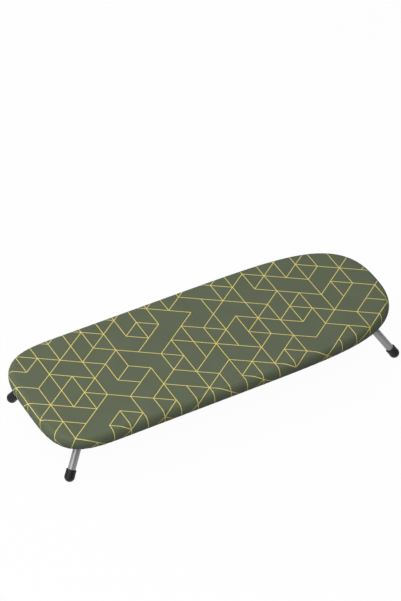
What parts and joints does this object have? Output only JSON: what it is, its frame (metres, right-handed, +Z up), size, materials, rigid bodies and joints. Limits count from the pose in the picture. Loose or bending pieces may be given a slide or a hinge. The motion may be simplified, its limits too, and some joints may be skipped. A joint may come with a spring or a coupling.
{
  "type": "tabletop ironing board",
  "caption": "Folding tabletop ironing board: two padded, fabric-covered lattice halves on a double hinge, with swing-in tube legs, a sliding lock plate and rubber feet.",
  "frame": {"origin": "on the surface the four feet stand on, under the middle of the board", "axes": "+X along the board towards the nose, +Y to the left edge, +Z up out of the ironing surface"},
  "size_m": [0.8, 0.3, 0.112],
  "materials": {
    "cover_fabric": "woven cotton, olive green with a printed pattern of pale yellow lines",
    "pad_foam": "charcoal foam and felt",
    "elastic_cord": "braided black elastic",
    "lattice_plastic": "moulded polypropylene, lavender grey",
    "bracket_plastic": "moulded nylon, grey",
    "leg_paint": "powder-coated steel tube, silver grey",
    "foot_rubber": "moulded rubber, near black",
    "plate_plastic": "moulded polypropylene, sage green",
    "tongue_plastic": "moulded polypropylene, light green",
    "screw_steel": "zinc-plated steel",
    "hook_steel": "bright steel wire",
    "cord_lock_plastic": "moulded plastic, olive"
  },
  "bodies": {
    "tail_half": {"cover_tail": "cover_fabric", "pad_tail": "pad_foam", "hem_elastic_tail": "elastic_cord", "lattice_tail": "lattice_plastic", "end_bracket_tail_left": "bracket_plastic", "clip_bracket_tail_left": "bracket_plastic", "hinge_pin_tail_left": "screw_steel", "bracket_screw_tail_left_1": "screw_steel", "bracket_screw_tail_left_2": "screw_steel", "bracket_screw_tail_left_3": "screw_steel", "bracket_screw_tail_left_4": "screw_steel", "end_bracket_tail_right": "bracket_plastic", "clip_bracket_tail_right": "bracket_plastic", "hinge_pin_tail_right": "screw_steel", "bracket_screw_tail_right_1": "screw_steel", "bracket_screw_tail_right_2": "screw_steel", "bracket_screw_tail_right_3": "screw_steel", "bracket_screw_tail_right_4": "screw_steel"},
    "hinge_links": {"hinge_link_left": "screw_steel", "hinge_link_right": "screw_steel", "cover_crease": "cover_fabric"},
    "nose_half": {"cover_nose": "cover_fabric", "pad_nose": "pad_foam", "hem_elastic_nose": "elastic_cord", "lattice_nose": "lattice_plastic", "end_bracket_nose_left": "bracket_plastic", "clip_bracket_nose_left": "bracket_plastic", "hinge_pin_nose_left": "screw_steel", "bracket_screw_nose_left_1": "screw_steel", "bracket_screw_nose_left_2": "screw_steel", "bracket_screw_nose_left_3": "screw_steel", "bracket_screw_nose_left_4": "screw_steel", "end_bracket_nose_right": "bracket_plastic", "clip_bracket_nose_right": "bracket_plastic", "hinge_pin_nose_right": "screw_steel", "bracket_screw_nose_right_1": "screw_steel", "bracket_screw_nose_right_2": "screw_steel", "bracket_screw_nose_right_3": "screw_steel", "bracket_screw_nose_right_4": "screw_steel", "tension_cord": "elastic_cord", "tension_hook": "hook_steel"},
    "lock_plate": {"lock_plate": "plate_plastic", "guide_tongue": "tongue_plastic"},
    "cord_lock": {"cord_lock_body": "cord_lock_plastic"},
    "cord_lock_button": {"cord_lock_button": "cord_lock_plastic"},
    "leg_tail_left": {"leg_tube_tail_left": "leg_paint", "foot_tail_left": "foot_rubber"},
    "leg_tail_right": {"leg_tube_tail_right": "leg_paint", "foot_tail_right": "foot_rubber"},
    "leg_nose_left": {"leg_tube_nose_left": "leg_paint", "foot_nose_left": "foot_rubber"},
    "leg_nose_right": {"leg_tube_nose_right": "leg_paint", "foot_nose_right": "foot_rubber"}
  },
  "joints": [
    {"name": "tail_fold", "type": "hinge", "parent": "tail_half", "child": "hinge_links", "pos_m": [-0.0125, 0, 0.1], "axis": [0, -1, 0], "range_deg": [0, 90], "deforming": ["cover_crease"]},
    {"name": "nose_fold", "type": "hinge", "parent": "hinge_links", "child": "nose_half", "pos_m": [0.0125, 0, 0.1], "axis": [0, -1, 0], "range_deg": [0, 90]},
    {"name": "plate_slide", "type": "slide", "parent": "nose_half", "child": "lock_plate", "axis": [-1, 0, 0], "range_m": [0, 0.08]},
    {"name": "leg_fold_tail_left", "type": "hinge", "parent": "tail_half", "child": "leg_tail_left", "pos_m": [-0.33, 0.094, 0.078], "axis": [-1, 0, 0], "range_deg": [0, 110]},
    {"name": "leg_fold_tail_right", "type": "hinge", "parent": "tail_half", "child": "leg_tail_right", "pos_m": [-0.33, -0.094, 0.078], "axis": [1, 0, 0], "range_deg": [0, 110]},
    {"name": "leg_fold_nose_left", "type": "hinge", "parent": "nose_half", "child": "leg_nose_left", "pos_m": [0.33, 0.094, 0.078], "axis": [-1, 0, 0], "range_deg": [0, 110]},
    {"name": "leg_fold_nose_right", "type": "hinge", "parent": "nose_half", "child": "leg_nose_right", "pos_m": [0.33, -0.094, 0.078], "axis": [1, 0, 0], "range_deg": [0, 110]},
    {"name": "cord_lock_slide", "type": "slide", "parent": "nose_half", "child": "cord_lock", "axis": [1, 0, 0], "range_m": [0, 0.04]},
    {"name": "cord_lock_press", "type": "slide", "parent": "cord_lock", "child": "cord_lock_button", "axis": [0, -1, 0], "range_m": [0, 0.003], "stiffness_N_per_m": 300}
  ],
  "couplings": [
    {"joint": "nose_fold", "follows": "tail_fold", "ratio": 1}
  ]
}
